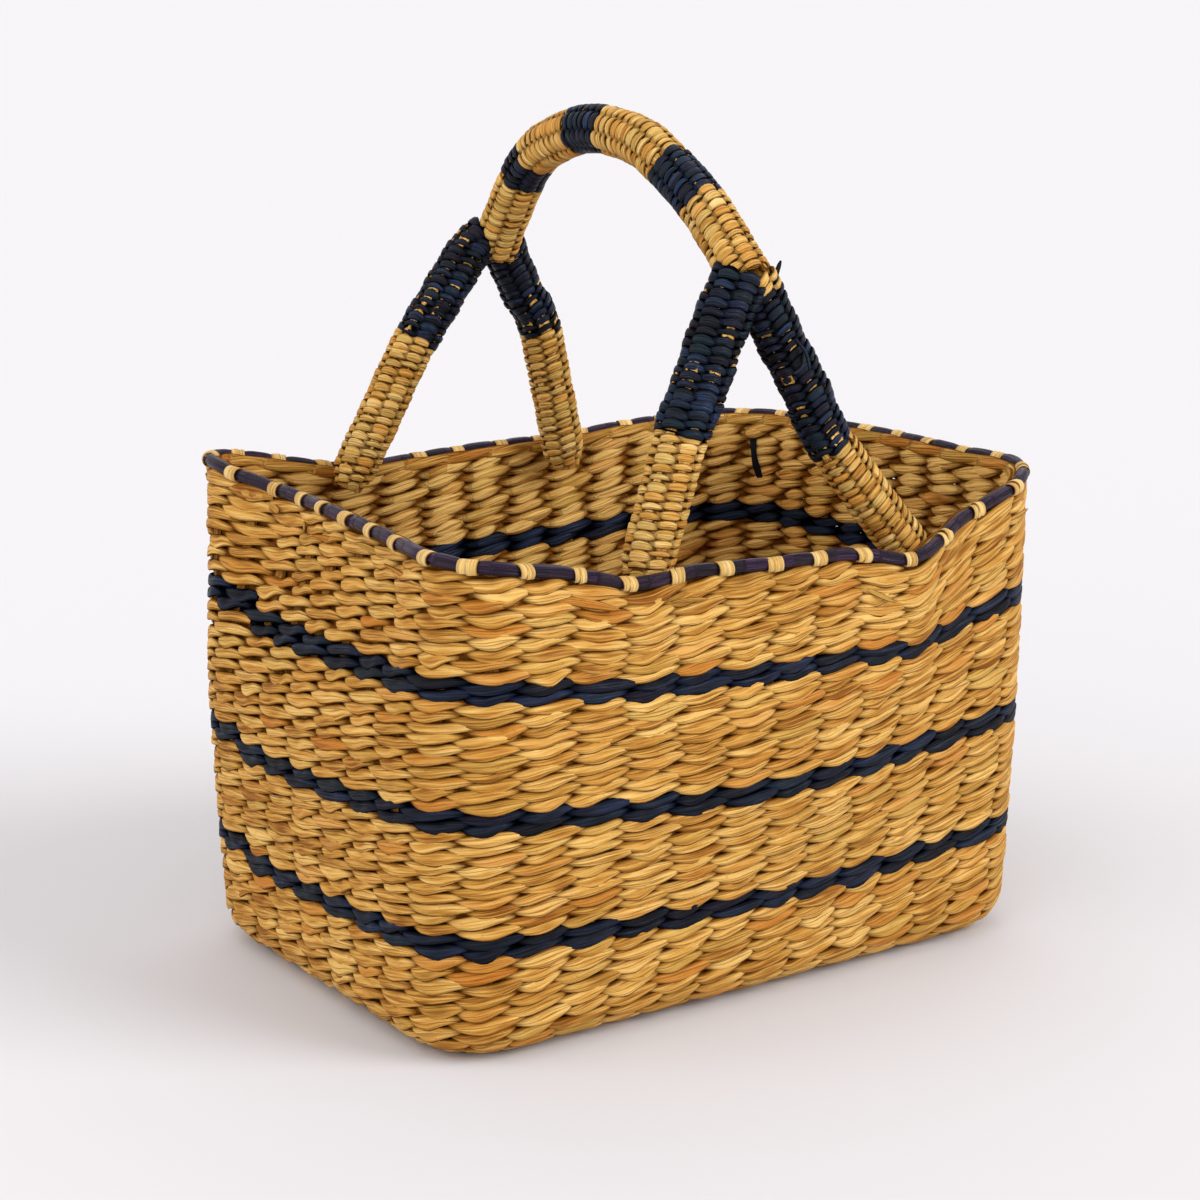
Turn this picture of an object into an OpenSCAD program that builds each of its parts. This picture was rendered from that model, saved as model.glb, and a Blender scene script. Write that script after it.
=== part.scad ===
// Woven market basket with a forked hoop handle.
// The wall is twined: pairs of flat strands pass in front of and behind upright
// stakes, so each band of rows is an outer course and an inner course with the
// stakes between them. Every stake runs up one wall, across the base and up the
// wall opposite. The handle is two bundles of grass lying side by side in the
// hoop and spread apart into two legs at each end.
// Origin: centre of the base, on the surface that the basket stands on.
// +X runs along the length, -Y is the front, +Z is up. Millimetres.

/* [Basket] */
// Length of the base
base_l = 398; // [380:2:430]
// Width of the base
base_w = 272; // [250:2:290]
// Corner radius of the base in plan
corner_r = 48; // [42:1:56]
// Radius of the bend where the base turns up into the wall
turn_r = 20; // [16:1:24]
// Height of the rim at the near left corner
rim_h = 260; // [240:2:280]
// How much of the walls' fullness and of the rim's unevenness is kept
unevenness = 1; // [0:0.1:1]

/* [Weave] */
// Thickness of the woven wall
wall_t = 9; // [8:0.5:11]
// Thickness of one course of strands
course_t = 3; // [2.4:0.1:3.2]
// Width of a stake
stake_w = 7; // [5:0.5:9]
// Thickness of a stake
stake_t = 2.2; // [1.6:0.1:2.4]
// Stakes along each long wall
long_wall_stakes = 13; // [11:1:15]
// Stakes along each short wall
short_wall_stakes = 9; // [7:1:10]

/* [Rim] */
// Diameter of the dyed roll on the outside of the rim
rim_roll_d = 6.5; // [6:0.5:9]
// Diameter of the plain filler behind it
rim_filler_d = 5; // [5:0.5:7]
// Width of a lashing strand
lashing_w = 9; // [6:0.5:11]

/* [Handle] */
// Diameter of the wrapped hoop, where the hand holds it
grip_d = 27; // [24:1:30]
// Diameter of a wrapped leg
leg_d = 26; // [22:1:28]
// Diameter of the front left leg, which is wrapped more fully than the others
full_leg_d = 31; // [26:1:32]
// Thickness of the wrapping
wrap_t = 3.5; // [2.5:0.5:4]
// Height of the hoop's top above the base, at its centreline
hoop_top = 456; // [430:2:480]

/* [Hidden] */

straw = [0.84, 0.67, 0.36];
pale_straw = [0.90, 0.79, 0.55];
navy = [0.07, 0.09, 0.16];
plum = [0.20, 0.12, 0.22];

gap = 0.2;                      // slack between a stake and the courses
base_t = 2 * course_t + 2 * stake_t + 3 * gap;
mid_z = base_t / 2;             // middle of the base's thickness
long_run = base_l - 2 * corner_r;
short_run = base_w - 2 * corner_r;
half_arc = corner_r * PI / 4;   // from the middle of a corner to its straight

// Rows of twining in each band, from the base up: natural, navy, natural ...
// and where each band ends, as a part of the wall's length up from the base
BAND_ROWS = [10, 2, 10, 2, 10, 2, 9];
BAND_TOPS = [0.25, 0.293, 0.5, 0.543, 0.755, 0.797, 1];

// Stations round the wall, along a long side and along a short one
long_steps = 20;
short_steps = 14;

// A place round the wall is s, from 0 to 4: 0 to 1 along the front from the
// near left corner, 1 to 2 up the right, 2 to 3 back along the rear, 3 to 4
// down the left.
STATIONS = concat(
    [for (i = [0:long_steps - 1]) i / long_steps],
    [for (i = [0:short_steps - 1]) 1 + i / short_steps],
    [for (i = [0:long_steps - 1]) 2 + i / long_steps],
    [for (i = [0:short_steps - 1]) 3 + i / short_steps]
);

// How far the wall stands out from the base outline [x, y] and how far its rows
// sink [z] at shoulder height, at each corner and each side's middle
shoulder_h = 0.78;
SHOULDER_DRIFT = [
    [-1, -8, 0], [2, -26, -8], [2, -6, 0], [5, 0, -2],
    [-1, -2, 0], [0, 8, -3], [-4, 9, -8], [-7, 0, -7]
];

// The same at the rim, at four places a side, with z from rim_h
RIM_DRIFT = [
    [2, -11, 0], [3, -10, -12], [2, -19, -18], [1, -15, -15],
    [-1, -10, 5], [-3, 0, 5], [-2, 0, 5], [-9, -3, 4],
    [-10, -10, 3], [2, 9, -2], [0, 9, -5], [-1, 7, -4],
    [9, 33, 7], [27, 12, 0], [21, 8, 1], [15, 1, 0]
];

// Where the four feet of the handle press on the rim: [s, push out, dip]
FEET = [[0.25, 3, 6], [0.715, 8, 9], [2.35, 2, 2], [2.745, 2, 2]];
foot_spread = 0.075;

// Where a lashing sits in the gap between two stakes, as a part of the stakes' spacing
lashing_place = 0.08;

// Centreline of the hoop [y, z below its top], from the back fork over to the
// front fork, all in the plane x = hoop_x.
hoop_x = -5;
HOOP = [
    [119, -77], [105, -55], [83, -26], [57, -10], [15, 0], [-25, -4],
    [-52, -15], [-73, -27], [-92, -40], [-114, -60], [-124, -70]
];

// Centreline of each leg, from its fork down to its foot inside the rim
FRONT_LEFT_LEG = [[-14, -119, 378], [-29, -120, 346], [-46, -122, 311], [-64, -124, 262], [-72, -125, 236]];
FRONT_RIGHT_LEG = [[12, -119, 368], [31, -121, 334], [52, -124, 296], [92, -133, 243], [103, -136, 226]];
BACK_LEFT_LEG = [[-19, 121, 382], [-38, 121, 357], [-58, 121, 331], [-92, 121, 273], [-104, 122, 250]];
BACK_RIGHT_LEG = [[7, 121, 372], [17, 121, 352], [28, 121, 330], [42, 122, 270], [47, 123, 246]];

// ---- Small sums and vectors ----

function sum_to(list, n) = n == 0 ? 0 : list[n - 1] + sum_to(list, n - 1);
function unit(v) = v / norm(v);
function frac(x) = x - floor(x);
function smooth(x) = x * x * (3 - 2 * x);
function mix(a, b, t) = a + (b - a) * t;

// Catmull-Rom curve through four values, t from 0 to 1 between b and c
function catmull(a, b, c, d, t) =
    b + t * ((c - a) / 2 + t * ((2 * a - 5 * b + 4 * c - d) / 2 + t * (3 * b - a - 3 * c + d) / 2));

// Round a closed list, t in list steps
function closed_curve(list, t) =
    let (n = len(list), i = floor(t))
    catmull(list[(i + n - 1) % n], list[i % n], list[(i + 1) % n], list[(i + 2) % n], t - i);

// Along an open list, t in list steps
function open_curve(list, t) =
    let (n = len(list), i = min(floor(t), n - 2), before = max(i - 1, 0), after = min(i + 2, n - 1))
    catmull(list[before], list[i], list[i + 1], list[after], t - i);

function thin_out(list, steps) =
    [for (i = [0:steps]) open_curve(list, i / steps * (len(list) - 1))];

// ---- The wall as a surface ----

// One side of the base outline, from the middle of a corner to the next, as
// [along, out] from the middle of that side; run is its straight length.
function side_point(run, f) =
    let (d = f * (run + 2 * half_arc), turn = 180 / PI / corner_r)
    d < half_arc
        ? let (a = (half_arc - d) * turn) [-run / 2 - corner_r * sin(a), corner_r * cos(a)]
        : d > half_arc + run
            ? let (a = (d - half_arc - run) * turn) [run / 2 + corner_r * sin(a), corner_r * cos(a)]
            : [d - half_arc - run / 2, corner_r];

function base_outline(s) =
    let (
        side = floor(s) % 4, f = frac(s),
        p = side_point(side % 2 == 0 ? long_run : short_run, f),
        out = p[1] + (side % 2 == 0 ? short_run : long_run) / 2
    )
    side == 0 ? [p[0], -out] : side == 1 ? [out, p[0]] : side == 2 ? [-p[0], out] : [-out, -p[0]];

function foot_press(s, k) =
    sum_to([for (foot = FEET) foot[k] * exp(-pow((s - foot[0]) / foot_spread, 2))], len(FEET));

// Outward direction of the side that s is on, turning through the corners
function outward(s) =
    let (d = 0.02, a = base_outline((s + 4 - d) % 4), b = base_outline((s + d) % 4), t = unit(b - a))
    [t[1], -t[0]];

// The middle of the wall's thickness at place s, and at v from 0, the edge of
// the base, to 1, the rim. v runs by length round the bend and up the wall.
bend = turn_r * PI / 2;
function wall_point(s, v) =
    let (
        place = s % 4,
        shoulder = unevenness * closed_curve(SHOULDER_DRIFT, place * 2),
        rim = unevenness * closed_curve(RIM_DRIFT, place * 4),
        d = v * (bend + rim_h - mid_z - turn_r),
        a = min(d / bend, 1) * 90,
        z = mid_z + turn_r * (1 - cos(a)) + max(d - bend, 0),
        h = (z - mid_z) / (rim_h - mid_z),
        low = sin(90 * min(h / shoulder_h, 1)),
        high = smooth(max((h - 0.6) / 0.4, 0)),
        drift = shoulder * low + (rim - shoulder) * high,
        push = unevenness * foot_press(place, 1) * high - turn_r * (1 - sin(a)) - wall_t / 2
    )
    concat(
        base_outline(place) + [drift[0], drift[1]] + outward(place) * push,
        z + drift[2] - unevenness * foot_press(place, 2) * high
    );

function wall_normal(s, v) =
    let (
        d = 0.01,
        along = wall_point(s + d, v) - wall_point(s + 4 - d, v),
        up = wall_point(s, min(v + d, 1)) - wall_point(s, max(v - d, 0))
    )
    unit(cross(along, up));

function off_wall(s, v, out) = wall_point(s, v) + wall_normal(s, v) * out;

// ---- Solids from grids of points ----

// grid[i][j] closes on itself both ways, like a tyre
module closed_grid(grid) {
    n = len(grid);
    m = len(grid[0]);
    points = [for (row = grid) each row];
    faces = [
        for (i = [0:n - 1], j = [0:m - 1])
            let (i1 = (i + 1) % n, j1 = (j + 1) % m)
            each [
                [i * m + j, i1 * m + j, i1 * m + j1],
                [i * m + j, i1 * m + j1, i * m + j1]
            ]
    ];
    polyhedron(points, faces);
}

// grid[i] is one closed ring of points; the first and last are capped
module capped_grid(grid) {
    n = len(grid);
    m = len(grid[0]);
    points = [for (row = grid) each row];
    sides = [
        for (i = [0:n - 2], j = [0:m - 1])
            let (j1 = (j + 1) % m)
            each [
                [i * m + j, (i + 1) * m + j, (i + 1) * m + j1],
                [i * m + j, (i + 1) * m + j1, i * m + j1]
            ]
    ];
    ends = [
        for (j = [1:m - 2]) each [
            [0, j, j + 1],
            [(n - 1) * m, (n - 1) * m + j + 1, (n - 1) * m + j]
        ]
    ];
    polyhedron(points, concat(sides, ends));
}

// ---- Base and wall ----

// A flat oval-cornered mat that meets the wall's lowest row
module base_mat(z) {
    round_r = corner_r - turn_r - wall_t / 2 - gap;
    translate([0, 0, z]) linear_extrude(course_t) offset(r = round_r, $fn = 32)
        square([long_run, short_run], center = true);
}

// Up one wall, across the base and up the other: s_a and s_b are its two places
module stake(s_a, s_b, base_z) {
    v_bend = bend / (bend + rim_h - mid_z - turn_r);
    climb = concat(
        [for (i = [5:-1:1]) mix(v_bend, 0.985, i / 5)],
        [for (i = [4:-1:0]) mix(0.01, v_bend, i / 4)]
    );
    function ring(c, w, n) = [
        c - w * stake_w / 2 - n * stake_t / 2, c + w * stake_w / 2 - n * stake_t / 2,
        c + w * stake_w / 2 + n * stake_t / 2, c - w * stake_w / 2 + n * stake_t / 2
    ];
    function wall_ring(s, v, dir) =
        let (
            w = unit(wall_point(s + 0.01, v) - wall_point(s + 3.99, v)),
            shift = (1 - smooth(min(v / v_bend, 1))) * (base_z - mid_z)
        )
        ring(wall_point(s, v) + [0, 0, shift], dir * w, wall_normal(s, v));
    edge_a = wall_point(s_a, 0);
    edge_b = wall_point(s_b, 0);
    across = unit([edge_b[1] - edge_a[1], edge_a[0] - edge_b[0], 0]);
    capped_grid(concat(
        [for (v = climb) wall_ring(s_a, v, 1)],
        [for (f = [0.03, 0.97])
            let (p = mix(edge_a, edge_b, f)) ring([p[0], p[1], base_z], across, [0, 0, -1])],
        [for (i = [len(climb) - 1:-1:0]) wall_ring(s_b, climb[i], -1)]
    ));
}

// Outer and inner courses of the rows from one height to another
module wall_rows(band) {
    v0 = band == 0 ? 0 : BAND_TOPS[band - 1];
    v1 = BAND_TOPS[band];
    steps = band == 0 ? 4 : BAND_ROWS[band] > 4 ? 2 : 1;
    levels = [for (i = [0:steps]) mix(v0, v1, i / steps)];
    for (side = [0, 1]) {
        far = side == 0 ? wall_t / 2 : -wall_t / 2 + course_t;
        near = far - course_t;
        closed_grid([
            for (s = STATIONS) concat(
                [for (v = levels) off_wall(s, v, far)],
                [for (i = [steps:-1:0]) off_wall(s, levels[i], near)]
            )
        ]);
    }
}

module base_lower_weave() {
    color(straw) base_mat(0);
}

module base_upper_weave() {
    color(straw) base_mat(base_t - course_t);
}

module cross_stakes() {
    color(straw) for (i = [0:long_wall_stakes - 1]) {
        s = (i + 0.5) / long_wall_stakes;
        stake(s, 3 - s, course_t + gap + stake_t / 2);
    }
}

module long_stakes() {
    color(straw) for (i = [0:short_wall_stakes - 1]) {
        s = (i + 0.5) / short_wall_stakes;
        stake(1 + s, 4 - s, course_t + 2 * gap + 1.5 * stake_t);
    }
}

module wall_band(i) {
    color(straw) wall_rows(2 * i);
}

module navy_stripe(i) {
    color(navy) wall_rows(2 * i + 1);
}

// ---- Rim ----

roll_out = 2.2;
roll_up = rim_roll_d / 2 + gap;
filler_out = roll_out - rim_roll_d / 2 - rim_filler_d / 2 - 0.3;
filler_up = rim_filler_d / 2 + gap;

// Centre of a roll laid along the rim at s
function rim_line(s, out, up) = wall_point(s, 1) + wall_normal(s, 1) * out + [0, 0, up];

module rim_round(d, out, up) {
    sides = 6;
    closed_grid([
        for (s = STATIONS)
            let (c = rim_line(s, out, up), n = wall_normal(s, 1))
            [for (k = [0:sides - 1])
                let (a = 360 * k / sides)
                c + n * cos(a) * d / 2 + [0, 0, sin(a) * d / 2]]
    ]);
}

module rim_roll() {
    color(plum) rim_round(rim_roll_d, roll_out, roll_up);
}

module rim_filler() {
    color(straw) rim_round(rim_filler_d, filler_out, filler_up);
}

// A flat strand over both rolls, with its ends down each face of the wall
module lashing(s) {
    t = 1.2;
    hang = 2.5;
    face = wall_t / 2 + gap;
    top = roll_up + rim_roll_d / 2 + gap;
    ends = [rim_line(s, -face, -hang), rim_line(s, face, -hang)];
    along = unit(wall_point(s + 0.01, 1) - wall_point(s + 3.99, 1)) * lashing_w / 2;
    n = wall_normal(s, 1);
    up = [0, 0, 1];
    route = [
        [ends[0], -n], [rim_line(s, -face, 0), -n],
        [rim_line(s, filler_out - rim_filler_d / 2 - gap, filler_up), -n],
        [rim_line(s, filler_out - 0.8, top - 0.6), unit(up - 0.4 * n)],
        [rim_line(s, roll_out, top), unit(up + 0.3 * n)],
        [rim_line(s, roll_out + rim_roll_d / 2 + gap, roll_up), n],
        [rim_line(s, face, 0), n], [ends[1], n]
    ];
    capped_grid([
        for (r = route)
            [r[0] - along, r[0] + along, r[0] + along + r[1] * t, r[0] - along + r[1] * t]
    ]);
}

module rim_lashings() {
    color(pale_straw) {
        for (i = [0:long_wall_stakes - 1], side = [0, 2]) lashing(side + (i + lashing_place) / long_wall_stakes);
        for (i = [0:short_wall_stakes - 1], side = [1, 3]) lashing(side + (i + lashing_place) / short_wall_stakes);
    }
}

// The loose end of a dyed strand, left standing inside the far right corner
module inner_tail() {
    s = 1.96;
    w = 4.5;
    t = 1.4;
    out = -wall_t / 2 - gap;
    along = unit(wall_point(s + 0.01, 0.9) - wall_point(s - 0.01, 0.9)) * w / 2;
    color(navy) capped_grid([
        for (v = [0.875, 0.9, 0.93, 0.955])
            let (c = off_wall(s, v, out), n = wall_normal(s, v))
            [c - along, c - along - n * t, c + along - n * t, c + along]
    ]);
}

// ---- Handle ----

HOOP_LINE = [for (p = HOOP) [hoop_x, p[0], hoop_top + p[1]]];

// Oval ring square to the path: a is its half width along X, b its half depth
function oval(c, t, a, b, sides) =
    let (u = unit([1, 0, 0] - t[0] * t), w = cross(t, u))
    [for (k = [0:sides - 1]) c + u * a * cos(360 * k / sides) + w * b * sin(360 * k / sides)];

function tangent(path, i) =
    unit(path[min(i + 1, len(path) - 1)] - path[max(i - 1, 0)]);

// A wrapping round a path: the outer skin one way, the inner skin back
module sleeve(path, a, b, t) {
    sides = 10;
    n = len(path);
    outer = [for (i = [0:n - 1]) oval(path[i], tangent(path, i), a[i], b[i], sides)];
    inner = [for (i = [0:n - 1]) oval(path[i], tangent(path, i), a[i] - t, b[i] - t, sides)];
    closed_grid([
        for (k = [0:sides - 1])
            concat([for (i = [0:n - 1]) outer[i][k]], [for (i = [n - 1:-1:0]) inner[i][k]])
    ]);
}

function fill(n, value) = [for (i = [1:n]) value];

// Ends of the seven wraps along the hoop, in HOOP steps from the back
GRIP_ENDS = [0.05, 1.75, 2.4, 3.65, 4.35, 6.1, 7.55, 9.75];

module grip_wrap(i, tone) {
    steps = 4;
    path = [for (k = [0:steps])
        open_curve(HOOP_LINE, mix(GRIP_ENDS[i] + 0.01, GRIP_ENDS[i + 1] - 0.01, k / steps))];
    color(tone) sleeve(path, fill(steps + 1, grip_d / 2), fill(steps + 1, grip_d / 2), wrap_t);
}

// The two bundles touch in the hoop and part at the forks
module handle_core(side, back_leg, front_leg, front_d) {
    sides = 10;
    back_r = leg_d / 2 - wrap_t - gap;
    front_r = front_d / 2 - wrap_t - gap;
    hoop_half = grip_d / 2 - wrap_t - gap;
    hoop_part = [for (k = [0:14]) open_curve(HOOP_LINE, mix(0.3, 9.5, k / 14))];
    shift = [side * hoop_half / 2, 0, 0];
    back = thin_out(back_leg, 6);
    front = thin_out(front_leg, 6);
    path = concat([for (k = [6:-1:1]) back[k]], [for (p = hoop_part) p + shift], [for (k = [1:6]) front[k]]);
    n = len(path);
    color(straw) capped_grid([
        for (i = [0:n - 1])
            let (in_hoop = i > 5 && i < n - 6, leg_r = i < n / 2 ? back_r : front_r)
            oval(path[i], tangent(path, i), in_hoop ? hoop_half / 2 - gap / 2 : leg_r * 0.72,
                in_hoop ? hoop_half * 0.86 : leg_r * 0.9, sides)
    ]);
}

// An oval wrap that holds the two bundles together where they part
module fork_binding(end, left_leg, right_leg) {
    r = grip_d / 2;
    high = open_curve(HOOP_LINE, end);
    left = open_curve(left_leg, wrap_start - 0.05);
    right = open_curve(right_leg, wrap_start - 0.05);
    low = mix(left, right, 0.5);
    widest = (right[0] - left[0]) / 2 + leg_d / 2;
    path = [for (f = [0, 0.35, 0.7, 1]) mix(high, low, f)];
    a = [for (f = [0, 0.35, 0.7, 1]) mix(r, widest, f)];
    color(navy) sleeve(path, a, fill(4, r), wrap_t);
}

// Legs are wrapped in navy above and in plain straw below
leg_colour_change = 2;
wrap_start = 0.5;

module leg_wrap(leg, d, from, to, tone) {
    steps = 4;
    path = [for (k = [0:steps]) open_curve(leg, mix(from, to, k / steps))];
    color(tone) sleeve(path, fill(steps + 1, d / 2), fill(steps + 1, d / 2), wrap_t);
}

module leg_upper_wrap(leg, d = leg_d) {
    leg_wrap(leg, d, wrap_start, leg_colour_change - 0.01, navy);
}

module leg_lower_wrap(leg, d = leg_d) {
    leg_wrap(leg, d, leg_colour_change + 0.01, 3.9, straw);
}

base_lower_weave();
base_upper_weave();
cross_stakes();
long_stakes();
wall_band(0);  // wall_band_1
navy_stripe(0);  // navy_stripe_1
wall_band(1);  // wall_band_2
navy_stripe(1);  // navy_stripe_2
wall_band(2);  // wall_band_3
navy_stripe(2);  // navy_stripe_3
wall_band(3);  // wall_band_4
rim_roll();
rim_filler();
rim_lashings();
inner_tail();
handle_core(-1, BACK_LEFT_LEG, FRONT_LEFT_LEG, full_leg_d);  // handle_core_left
handle_core(1, BACK_RIGHT_LEG, FRONT_RIGHT_LEG, leg_d);  // handle_core_right
grip_wrap(0, straw);  // grip_wrap_1
grip_wrap(1, navy);  // grip_wrap_2
grip_wrap(2, straw);  // grip_wrap_3
grip_wrap(3, navy);  // grip_wrap_4
grip_wrap(4, straw);  // grip_wrap_5
grip_wrap(5, navy);  // grip_wrap_6
grip_wrap(6, straw);  // grip_wrap_7
fork_binding(9.77, FRONT_LEFT_LEG, FRONT_RIGHT_LEG);  // front_fork_binding
fork_binding(0.03, BACK_LEFT_LEG, BACK_RIGHT_LEG);  // back_fork_binding
leg_upper_wrap(FRONT_LEFT_LEG, full_leg_d);  // front_left_leg_upper_wrap
leg_lower_wrap(FRONT_LEFT_LEG, full_leg_d);  // front_left_leg_lower_wrap
leg_upper_wrap(FRONT_RIGHT_LEG);  // front_right_leg_upper_wrap
leg_lower_wrap(FRONT_RIGHT_LEG);  // front_right_leg_lower_wrap
leg_upper_wrap(BACK_LEFT_LEG);  // back_left_leg_upper_wrap
leg_lower_wrap(BACK_LEFT_LEG);  // back_left_leg_lower_wrap
leg_upper_wrap(BACK_RIGHT_LEG);  // back_right_leg_upper_wrap
leg_lower_wrap(BACK_RIGHT_LEG);  // back_right_leg_lower_wrap
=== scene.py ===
"""The looks of the woven market basket: twined straw walls, lashed rim and wrapped, forked handle."""

import bpy
import numpy as np
from mathutils import Matrix


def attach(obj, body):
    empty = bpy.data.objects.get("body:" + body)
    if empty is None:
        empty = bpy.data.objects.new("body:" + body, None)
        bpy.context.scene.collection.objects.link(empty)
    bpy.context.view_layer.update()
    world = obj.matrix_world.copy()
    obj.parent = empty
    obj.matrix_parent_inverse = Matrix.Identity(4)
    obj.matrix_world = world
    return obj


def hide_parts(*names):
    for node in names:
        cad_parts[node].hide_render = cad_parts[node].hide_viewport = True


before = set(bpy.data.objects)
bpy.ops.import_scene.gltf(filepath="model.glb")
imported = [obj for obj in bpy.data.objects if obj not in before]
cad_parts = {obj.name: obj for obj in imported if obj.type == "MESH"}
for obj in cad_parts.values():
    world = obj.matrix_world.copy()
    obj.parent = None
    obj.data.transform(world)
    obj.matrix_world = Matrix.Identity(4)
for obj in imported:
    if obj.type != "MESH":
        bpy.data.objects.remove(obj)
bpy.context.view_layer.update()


rng = np.random.default_rng(11)
PI = np.pi
MM = 0.001

# ---- Sizes, in mm, as the frame has them ----

base_l = 398.0
base_w = 272.0
corner_r = 48.0
turn_r = 20.0
rim_h = 260.0
wall_t = 9.0
base_t = 11.0
mid_z = base_t / 2
long_run = base_l - 2 * corner_r
short_run = base_w - 2 * corner_r
half_arc = corner_r * PI / 4
bend = turn_r * PI / 2
climb = bend + rim_h - mid_z - turn_r  # the wall's length from base to rim

# Stakes along each side, and twined rows in each band with the band's top
SIDE_STAKES = np.array([13, 9, 13, 9])
ROUND_STAKES = int(SIDE_STAKES.sum())
BAND_ROWS = [10, 2, 10, 2, 10, 2, 9]
ROW_ENDS = np.concatenate([[0], np.cumsum(BAND_ROWS)])
BAND_TOPS = np.array([0, 0.25, 0.293, 0.5, 0.543, 0.755, 0.797, 1])
ALL_ROWS = int(ROW_ENDS[-1])

# The stake gap on the left side where the spiral of rows begins
spiral_start = 37

# Drift of the wall at the shoulder and at the rim, and the press of the feet
shoulder_h = 0.78
SHOULDER_DRIFT = np.array([
    [-1, -8, 0], [2, -26, -8], [2, -6, 0], [5, 0, -2],
    [-1, -2, 0], [0, 8, -3], [-4, 9, -8], [-7, 0, -7],
], float)
RIM_DRIFT = np.array([
    [2, -11, 0], [3, -10, -12], [2, -19, -18], [1, -15, -15],
    [-1, -10, 5], [-3, 0, 5], [-2, 0, 5], [-9, -3, 4],
    [-10, -10, 3], [2, 9, -2], [0, 9, -5], [-1, 7, -4],
    [9, 33, 7], [27, 12, 0], [21, 8, 1], [15, 1, 0],
], float)
FEET = [[0.25, 3, 6], [0.715, 8, 9], [2.35, 2, 2], [2.745, 2, 2]]
foot_spread = 0.075

# The handle's centrelines, the hoop in one plane and four legs
hoop_x = -5.0
hoop_top = 456.0
HOOP = np.array([
    [119, -77], [105, -55], [83, -26], [57, -10], [15, 0], [-25, -4],
    [-52, -15], [-73, -27], [-92, -40], [-114, -60], [-124, -70],
], float)
HOOP_LINE = np.stack([np.full(len(HOOP), hoop_x), HOOP[:, 0], hoop_top + HOOP[:, 1]], 1)
LEGS = {
    "front_left": [[-14, -119, 378], [-29, -120, 346], [-46, -122, 311], [-64, -124, 262], [-72, -125, 236]],
    "front_right": [[12, -119, 368], [31, -121, 334], [52, -124, 296], [92, -133, 243], [103, -136, 226]],
    "back_left": [[-19, 121, 382], [-38, 121, 357], [-58, 121, 331], [-92, 121, 273], [-104, 122, 250]],
    "back_right": [[7, 121, 372], [17, 121, 352], [28, 121, 330], [42, 122, 270], [47, 123, 246]],
}
# Where each leg's wrapping begins, up inside the fork
FORK_STARTS = {
    "front_left": [-8, -119, 389],
    "front_right": [2, -118, 385],
    "back_left": [-12, 119, 388],
    "back_right": [-1, 119, 387],
}
# Where the hoop's seven wrappings meet, in steps of its list of points
GRIP_ENDS = [0.05, 1.75, 2.4, 3.65, 4.35, 6.1, 7.55, 9.75]
grip_r = 13.5
# Half the size of each leg's wrapping, above and below the change of colour
LEG_R = {
    "front_left": (15.3, 14.2),
    "front_right": (13.3, 13.3),
    "back_left": (13.3, 13.0),
    "back_right": (13.0, 13.0),
}
# Where a leg's wrapping changes colour and where it ends, in steps of its list of points
colour_step = 3.0
foot_step = 4.9


# ---- Curves and the wall as a surface ----

def unit(v):
    """v divided by its length."""
    return v / np.linalg.norm(v, axis=-1, keepdims=True)


def smooth(x):
    """Three x squared less two x cubed, held between 0 and 1."""
    x = np.clip(x, 0, 1)
    return x * x * (3 - 2 * x)


def catmull(a, b, c, d, f):
    """Catmull-Rom cubic from b to c, with a and d as the neighbours that set its slopes."""
    return b + f * ((c - a) / 2 + f * ((2 * a - 5 * b + 4 * c - d) / 2 + f * (3 * b - a - 3 * c + d) / 2))


def closed_curve(points, t):
    """Catmull-Rom curve round a closed list, t in list steps."""
    n = len(points)
    i = np.floor(t).astype(int)
    f = (t - i)[..., None]
    return catmull(points[(i - 1) % n], points[i % n], points[(i + 1) % n], points[(i + 2) % n], f)


def open_curve(points, t):
    """Catmull-Rom curve along an open list, t in list steps, its end points used twice."""
    points = np.asarray(points, float)
    n = len(points)
    i = np.clip(np.floor(t).astype(int), 0, n - 2)
    f = (t - i)[..., None]
    before = np.maximum(i - 1, 0)
    after = np.minimum(i + 2, n - 1)
    return catmull(points[before], points[i], points[i + 1], points[after], f)


def side_point(run, f):
    """One side of the base outline: a straight run with an eighth of a circle at each end, by length."""
    d = f * (run + 2 * half_arc)
    near = np.clip((half_arc - d) / corner_r, 0, None)
    far = np.clip((d - half_arc - run) / corner_r, 0, None)
    middle = np.clip(d - half_arc - run / 2, -run / 2, run / 2)
    return middle - corner_r * np.sin(near) + corner_r * np.sin(far), corner_r * np.cos(near) * np.cos(far)


def base_outline(s):
    """Rounded rectangle at place s: 0 to 1 front, 1 to 2 right, 2 to 3 back, 3 to 4 left."""
    s = np.mod(s, 4)
    side = np.floor(s).astype(int) % 4
    along, out = side_point(np.where(side % 2 == 0, long_run, short_run), s - np.floor(s))
    out = out + np.where(side % 2 == 0, short_run, long_run) / 2
    x = np.choose(side, [along, out, -along, -out])
    y = np.choose(side, [-out, along, out, -along])
    return np.stack([x, y], -1)


def outward(s):
    """Unit normal of the base outline: its tangent turned a quarter clockwise."""
    t = unit(base_outline(s + 0.02) - base_outline(s - 0.02))
    return np.stack([t[..., 1], -t[..., 0]], -1)


def foot_press(s, k):
    """Sum of one bell curve per foot; k picks the push outward or the dip."""
    return sum(foot[k] * np.exp(-(((s - foot[0]) / foot_spread) ** 2)) for foot in FEET)


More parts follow.
